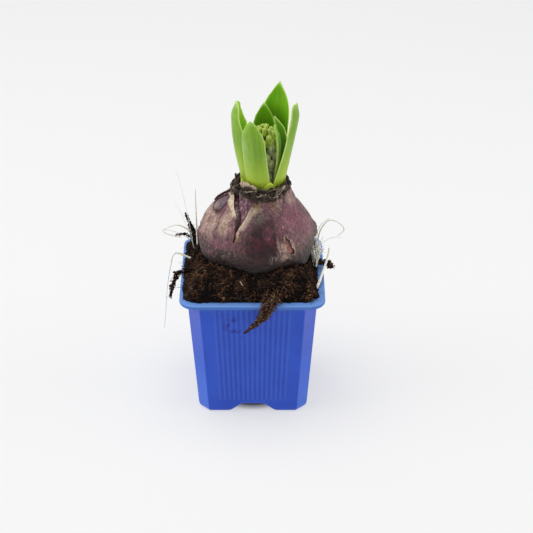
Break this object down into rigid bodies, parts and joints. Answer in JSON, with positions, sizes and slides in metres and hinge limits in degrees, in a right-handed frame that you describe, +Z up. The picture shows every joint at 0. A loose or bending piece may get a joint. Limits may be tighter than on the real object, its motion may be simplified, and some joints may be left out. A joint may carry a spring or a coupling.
{
  "type": "potted hyacinth bulb in bud",
  "caption": "Hyacinth with its bulb: upright leaves round a tight green flower spike, standing in a torn papery bulb half buried in peat in a square ribbed plastic pot.",
  "frame": {"origin": "on the ground, under the middle of the pot", "axes": "+Z up along the plant, -Y the front that the open wedge of the bulb's skin faces, +X to the right seen from the front"},
  "size_m": [0.0906, 0.0782, 0.1613],
  "materials": {
    "pot_plastic": "satin",
    "peat": "matte",
    "bulb_flesh": "satin",
    "tunic": "satin",
    "dry_collar": "matte",
    "leaf": "satin",
    "bud": "satin",
    "dry_root": "matte"
  },
  "bodies": {
    "root": {"pot": "pot_plastic", "peat": "peat", "bulb": "bulb_flesh", "tunic_left": "tunic", "tunic_front": "tunic", "tunic_back": "tunic", "neck_collar": "dry_collar", "leaf_left": "leaf", "leaf_front": "leaf", "leaf_right": "leaf", "leaf_back_tall": "leaf", "leaf_back_inner": "leaf", "leaf_inner_back": "leaf", "leaf_inner_right": "leaf", "flower_spike": "bud", "root_left_upright": "dry_root", "root_left_loop": "dry_root", "root_left_hanging": "dry_root", "root_right_upright": "dry_root", "root_right_curl": "dry_root"}
  },
  "joints": []
}
